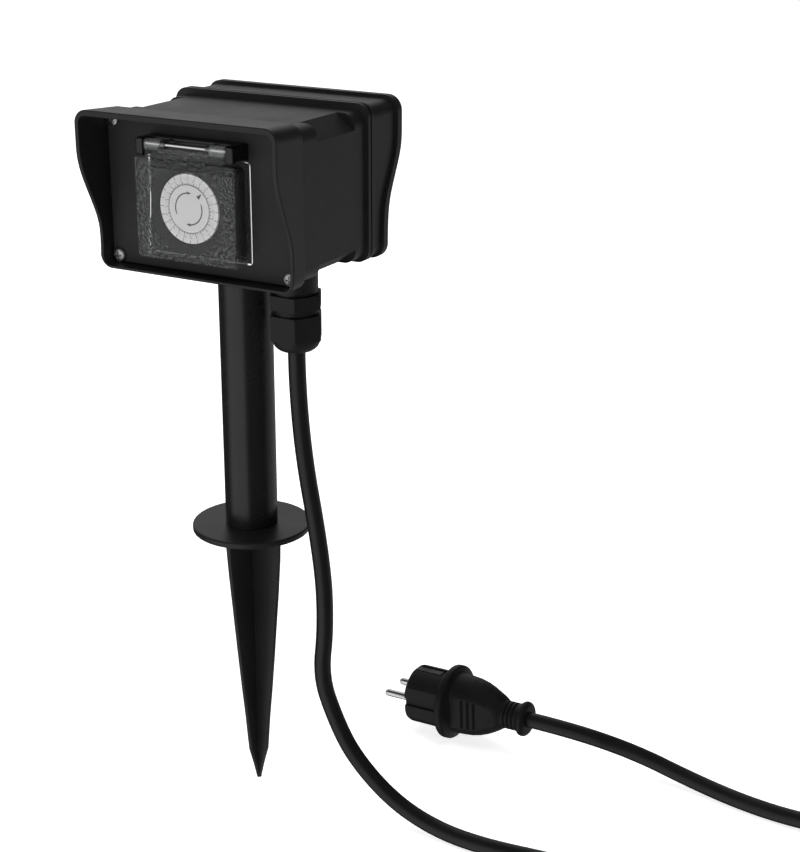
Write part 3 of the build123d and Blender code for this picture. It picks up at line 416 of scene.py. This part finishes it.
# ---- plug grip, turned and then shaped
def plug_grip():
    prof = [(0.0, -27.35), (20.0, -27.35), (24.2, -27.4), (24.75, -27.75), (24.95, -28.3), (25.0, -28.9), (25.0, -30.9),
            (24.95, -31.4), (24.7, -31.9), (23.9, -32.4), (22.4, -32.9), (21.5, -33.4), (21.0, -34.2), (20.8, -35.2),
            (20.7, -37.0), (20.5, -41.0), (19.9, -47.0), (18.6, -52.5), (16.7, -57.5), (14.4, -62.0), (12.2, -65.6),
            (10.6, -67.8), (9.6, -69.2), (9.3, -70.2)]
    for k in range(3):
        h = -71.0 - 3.0 * k
        prof += [(9.3, h + 0.5), (9.25, h + 0.1), (8.3, h - 0.1), (8.0, h - 0.35), (8.0, h - 0.95), (8.3, h - 1.2),
                 (9.25, h - 1.4), (9.3, h - 1.8)]
    prof += [(9.3, -80.2), (9.7, -80.7), (10.6, -81.2), (11.3, -82.0), (11.65, -83.1), (11.6, -84.2), (11.1, -85.3),
             (10.2, -86.1), (8.8, -86.5), (5.4, -86.55), (5.3, -86.55), (0.0, -86.55)]
    # finer rings along the grip
    fine = []
    for (r0, h0), (r1, h1) in zip(prof, prof[1:]):
        n = max(1, int(abs(h1 - h0) / 0.4)) if -66 < h0 < -32.9 else 1
        for k in range(n):
            t = k / n
            fine.append((r0 + (r1 - r0) * t, h0 + (h1 - h0) * t))
    fine.append(prof[-1])
    seg = 192
    bm = bmesh.new()
    rings = []
    for r, h in fine:
        if r == 0.0:
            rings.append([bm.verts.new((PLUG_FACE + PLUG_DIR * h) * MM)])
            continue
        ring = []
        for k in range(seg):
            a = 2 * math.pi * k / seg
            v, s = r * math.cos(a), r * math.sin(a)
            ring.append(bm.verts.new(shape_grip(h, v, s, r)))
        rings.append(ring)
    for a, b in zip(rings, rings[1:]):
        if len(a) == 1 or len(b) == 1:
            one, many = (a, b) if len(a) == 1 else (b, a)
            for k in range(seg):
                bm.faces.new((one[0], many[k], many[(k + 1) % seg]))
        else:
            for k in range(seg):
                bm.faces.new((a[k], a[(k + 1) % seg], b[(k + 1) % seg], b[k]))
    return new_mesh("plug_grip_body", bm, M["plug"])


def sstep(x, a, b):
    t = min(1.0, max(0.0, (x - a) / (b - a)))
    return t * t * (3 - 2 * t)


def shape_grip(h, v, s, r):
    """Oval behind the collar, with an arched flat field and three grooves on both sides."""
    s *= 1.0 - 0.14 * sstep(-h, 32.9, 34.4) * (1.0 - sstep(-h, 60.0, 69.0))
    if -66.0 < h < -34.4 and abs(s) > 5.0:
        t = (-h - 34.6) / 29.5                               # 0 at the collar, 1 at the field's tip
        half = 16.0 * math.sqrt(max(0.0, 1.0 - max(0.0, t) ** 2.2))
        inside = sstep(half - abs(v), -0.1, 0.9) * sstep(-h, 34.5, 35.2)
        plane = 15.3 - 0.04 * max(0.0, -h - 37.0) - 0.0048 * max(0.0, -h - 37.0) ** 2
        for hr in (-43.3, -47.7, -51.9):
            k = math.exp(-((h - hr) / 0.62) ** 4) * sstep(min(half - 3.5, 10.5) - abs(v), -0.4, 0.6)
            plane -= 1.3 * k
        if abs(s) > plane:
            s2 = math.copysign(plane, s)
            s = s + (s2 - s) * inside
    return (PLUG_FACE + PLUG_DIR * h + PLUG_UP * v + PLUG_SIDE * s) * MM


grip = plug_grip()
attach(grip, "housing")
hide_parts("plug_grip")


# ---- print on the dial
def front_point(r, deg, y, cx=0.0, cz=209.8):
    a = math.radians(deg)
    return Vector(((cx + r * math.cos(a)) * MM, y * MM, (cz + r * math.sin(a)) * MM))


def flat_strip(bm, pts_outer, pts_inner, y0, y1):
    """Closed thin plate between two rows of (x, z) points, from y0 (front) to y1."""
    loop = pts_outer + pts_inner[::-1]
    front = [bm.verts.new((p[0] * MM, y0 * MM, p[1] * MM)) for p in loop]
    back = [bm.verts.new((p[0] * MM, y1 * MM, p[1] * MM)) for p in loop]
    n, half = len(loop), len(pts_outer)
    for k in range(half - 1):
        a, b, c, d = k, k + 1, n - 2 - k, n - 1 - k
        bm.faces.new((front[a], front[b], front[c], front[d]))
        bm.faces.new((back[d], back[c], back[b], back[a]))
    for k in range(n):
        j = (k + 1) % n
        bm.faces.new((front[j], front[k], back[k], back[j]))


def pol(r, deg):
    a = math.radians(deg)
    return (r * math.cos(a), 209.8 + r * math.sin(a))


# dark print, also used for the painted shade in the gaps between the tappets
ink_and_gap_shade = plastic("print_dark_and_gap_shade", (0.052, 0.053, 0.055), 0.5, bevel=0.0, tone=0.05)
soft_ink = plastic("print_grey", (0.16, 0.16, 0.165), 0.5, bevel=0.0, tone=0.05)


def tick(bm, r0, r1, deg, width, y_front, y_back):
    """Radial bar between two radii, width in mm."""
    a = math.radians(deg)
    px, pz = -math.sin(a) * width / 2, math.cos(a) * width / 2
    row = []
    for sg in (-1, 1):
        row.append([(r * math.cos(a) + sg * px, 209.8 + r * math.sin(a) + sg * pz) for r in (r0, r1)])
    flat_strip(bm, row[0], row[1], y_front, y_back)


bm = bmesh.new()
Y_TOP = -52.4
for k in range(24):
    a = 15.0 * k
    tick(bm, 13.85, 15.15, a, 0.46, Y_TOP - 0.035, Y_TOP + 0.02)
    tick(bm, 13.85, 14.75, a + 7.5, 0.34, Y_TOP - 0.035, Y_TOP + 0.02)
    tick(bm, 13.85, 14.35, a + 3.75, 0.20, Y_TOP - 0.035, Y_TOP + 0.02)
    tick(bm, 13.85, 14.35, a + 11.25, 0.20, Y_TOP - 0.035, Y_TOP + 0.02)
    # painted shade: a dark sheet at the foot of the gap between two hours' tappets
    tick(bm, 17.75, 19.55, a, 0.34, Y_TOP + 0.03, Y_TOP + 1.4)
scale_print_and_gap_shade = new_mesh("dial_scale_print_and_gap_shade", bm, ink_and_gap_shade, smooth=False)
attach(scale_print_and_gap_shade, "dial")

# light web that closes the ring-shaped gap inside the tappets
bm = bmesh.new()
turn = [[bm.verts.new((pol(r, 3.75 * k)[0] * MM, y * MM, pol(r, 3.75 * k)[1] * MM)) for k in range(96)]
        for r, y in ((17.28, Y_TOP + 0.01), (17.14, Y_TOP + 0.01), (17.14, Y_TOP + 1.0), (17.28, Y_TOP + 1.0))]
for k in range(96):
    j = (k + 1) % 96
    for a in range(4):
        b = (a + 1) % 4
        bm.faces.new((turn[a][k], turn[a][j], turn[b][j], turn[b][k]))
web = new_mesh("tappet_web", bm, M["tappet"], smooth=False)
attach(web, "dial")


def arrow(bm, r, a0, a1, head, w=0.72):
    """Arc from a0 to a1 with a slim head that runs on by head degrees."""
    n = 32
    sgn = 1 if a1 > a0 else -1
    arc = [a0 + (a1 - a0) * k / n for k in range(n + 1)]
    outer = [pol(r + w / 2 * min(1.0, 0.55 + 4.0 * k / n), a) for k, a in enumerate(arc)]
    inner = [pol(r - w / 2 * min(1.0, 0.55 + 4.0 * k / n), a) for k, a in enumerate(arc)]
    flat_strip(bm, outer, inner, -52.65, -52.58)
    h = [a1 - sgn * 1.0 + sgn * head * k / 8 for k in range(9)]
    outer = [pol(r + 0.92 * (1 - k / 8) + 0.02, a) for k, a in enumerate(h)]
    inner = [pol(r - 0.92 * (1 - k / 8) - 0.02, a) for k, a in enumerate(h)]
    flat_strip(bm, outer, inner, -52.66, -52.58)


bm = bmesh.new()
arrow(bm, 9.0, 204.0, 94.0, 17.0)
arrow(bm, 8.85, 24.0, -86.0, 19.0)
tip, b1, b2 = pol(12.95, 46.5), pol(9.2, 55.0), pol(9.2, 40.0)
mid = pol(12.9, 46.2)
flat_strip(bm, [tip, b1], [mid, b2], -52.66, -52.58)
arrows = new_mesh("dial_centre_print", bm, ink_and_gap_shade, smooth=False)
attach(arrows, "housing")

for k in range(24):
    cu = bpy.data.curves.new("hour_%02d" % (k + 1), "FONT")
    cu.body = str(k + 1)
    cu.size = 0.0021 if k + 1 < 10 else 0.0019
    cu.align_x, cu.align_y = "CENTER", "CENTER"
    cu.extrude = 0.00002
    cu.resolution_u = 3
    cu.space_character = 0.88
    tmp = bpy.data.objects.new("tmp_hour", cu)
    bpy.context.scene.collection.objects.link(tmp)
    deg = 47.0 - 15.0 * (k + 1 - 10)
    bpy.context.view_layer.update()
    me = bpy.data.meshes.new_from_object(tmp.evaluated_get(bpy.context.evaluated_depsgraph_get()))
    bpy.data.objects.remove(tmp)
    ob = bpy.data.objects.new("hour_%02d" % (k + 1), me)
    me.materials.clear()
    me.materials.append(soft_ink)
    bpy.context.scene.collection.objects.link(ob)
    # upright to a reader who looks from the front, its top away from the centre
    spin = Matrix.Rotation(math.radians(90), 4, "X")
    turn = Matrix.Rotation(-math.radians(deg - 90.0), 4, "Y")
    ob.matrix_world = Matrix.Translation(front_point(16.05, deg, Y_TOP - 0.02)) @ turn @ spin
    bpy.context.view_layer.update()
    me.transform(ob.matrix_world)
    ob.matrix_world = Matrix.Identity(4)
    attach(ob, "dial")

# =====================================================================
# stage and light
# =====================================================================
sc = bpy.context.scene
sc.view_settings.view_transform = "Standard"
sc.view_settings.look = "None"
sc.view_settings.exposure = 0.0
sc.view_settings.gamma = 1.0

bm = bmesh.new()
bmesh.ops.create_grid(bm, x_segments=2, y_segments=2, size=3.0)
for v in bm.verts:
    v.co.z = FLOOR * MM - 0.0002
fm = Mat("stage_floor")
fm.link(fm.mix_rgb(fm.remap(fm.noise(3.0, 2.0), 0.3, 0.7, 0, 1), (0.84, 0.84, 0.84), (0.86, 0.86, 0.86)), fm.b.inputs["Base Color"])
fm.set(Roughness=0.9)
fsep = fm.node("ShaderNodeVectorMath", operation="LENGTH")
fm.link(fm.co, fsep.inputs[0])
fm.link(fm.remap(fsep.outputs["Value"], 0.5, 1.3, 0.78, 1.0), fm.b.inputs["Emission Strength"])
fm.b.inputs["Emission Color"].default_value = (1, 1, 1, 1)
fm.b.inputs["Specular IOR Level"].default_value = 0.0
floor = new_mesh("stage_floor", bm, fm.m, smooth=False)
floor.visible_glossy = False


def area(name, loc, target, size, size_y, power, color=(1, 1, 1), spread=math.pi, diffuse=1.0, glossy=1.0):
    li = bpy.data.lights.new(name, "AREA")
    li.shape = "RECTANGLE"
    li.size, li.size_y = size, size_y
    li.energy = power
    li.color = color
    li.spread = spread
    li.diffuse_factor, li.specular_factor = diffuse, glossy
    ob = bpy.data.objects.new(name, li)
    ob.location = loc
    ob.rotation_mode = "QUATERNION"
    ob.rotation_quaternion = (Vector(target) - Vector(loc)).to_track_quat("-Z", "Y")
    ob.visible_camera = False
    sc.collection.objects.link(ob)
    return ob


def soft(*a, **k):
    ob = area(*a, **k)
    ob.visible_glossy = False
    return ob


soft("front_fill", (-0.35, -2.6, 0.55), (0.0, 0.0, 0.15), 1.8, 1.4, 24.0)
soft("overhead", (0.1, 0.1, 2.2), (0.1, 0.0, 0.0), 2.4, 2.4, 46.0)

w = bpy.data.worlds.new("studio")
sc.world = w
w.use_nodes = True
nt = w.node_tree
nt.nodes.clear()


def wn(kind, **kw):
    n = nt.nodes.new(kind)
    for k, v in kw.items():
        setattr(n, k, v)
    return n


def wm(op, a, b=None):
    n = wn("ShaderNodeMath", operation=op)
    for i, v in enumerate((a, b)):
        if v is None:
            continue
        if isinstance(v, (int, float)):
            n.inputs[i].default_value = v
        else:
            nt.links.new(v, n.inputs[i])
    return n.outputs[0]


def wstep(value, lo, hi, a=0.0, b=1.0):
    n = wn("ShaderNodeMapRange", interpolation_type="SMOOTHSTEP")
    n.inputs["From Min"].default_value, n.inputs["From Max"].default_value = lo, hi
    n.inputs["To Min"].default_value, n.inputs["To Max"].default_value = a, b
    nt.links.new(value, n.inputs["Value"])
    return n.outputs["Result"]


tc = wn("ShaderNodeTexCoord").outputs["Generated"]
sp = wn("ShaderNodeSeparateXYZ")
nt.links.new(tc, sp.inputs[0])
DX, DY, DZ = sp.outputs


def toward(az, el):
    """Cosine between the ray and a direction given by azimuth and elevation in degrees."""
    a, e = math.radians(az), math.radians(el)
    v = (math.cos(a) * math.cos(e), math.sin(a) * math.cos(e), math.sin(e))
    return wm("ADD", wm("ADD", wm("MULTIPLY", DX, v[0]), wm("MULTIPLY", DY, v[1])), wm("MULTIPLY", DZ, v[2]))


def card(az, el, inner, outer, level):
    """Round soft card: full level inside the inner angle, nothing beyond the outer one."""
    return wm("MULTIPLY", wstep(toward(az, el), math.cos(math.radians(outer)), math.cos(math.radians(inner))), level)


def wall(az, left, left_soft, right, right_soft, low, low_soft, high, high_soft, level):
    """Upright soft card: its half-widths in degrees on both sides of az, and its range of elevation."""
    a = math.radians(az)
    fx = wm("ADD", wm("MULTIPLY", DX, math.cos(a)), wm("MULTIPLY", DY, math.sin(a)))
    fy = wm("ADD", wm("MULTIPLY", DX, -math.sin(a)), wm("MULTIPLY", DY, math.cos(a)))
    ang = wm("ARCTAN2", fy, fx)
    r = math.radians
    side = wm("MULTIPLY", wstep(ang, r(-left - left_soft), r(-left)), wstep(ang, r(right), r(right + right_soft), 1.0, 0.0))
    up = wm("MULTIPLY", wstep(DZ, math.sin(r(low - low_soft)), math.sin(r(low))),
            wstep(DZ, math.sin(r(high)), math.sin(r(high + high_soft)), 1.0, 0.0))
    return wm("MULTIPLY", wm("MULTIPLY", side, up), level)


level = wm("ADD", 0.035, wall(255, 27, 34, 31, 11, -60, 20, 5, 30, 0.72))
level = wm("ADD", level, card(137, 26, 23, 46, 0.54))
level = wm("ADD", level, card(66, -36, 27, 44, 0.31))
studio = wn("ShaderNodeBackground")
nt.links.new(level, studio.inputs["Strength"])
white = wn("ShaderNodeBackground")
white.inputs["Strength"].default_value = 1.0
white.inputs["Color"].default_value = (1, 1, 1, 1)
studio.inputs["Color"].default_value = (1, 1, 1, 1)
mix = wn("ShaderNodeMixShader")
lp = wn("ShaderNodeLightPath")
out = wn("ShaderNodeOutputWorld")
nt.links.new(lp.outputs["Is Camera Ray"], mix.inputs[0])
nt.links.new(studio.outputs[0], mix.inputs[1])
nt.links.new(white.outputs[0], mix.inputs[2])
nt.links.new(mix.outputs[0], out.inputs["Surface"])
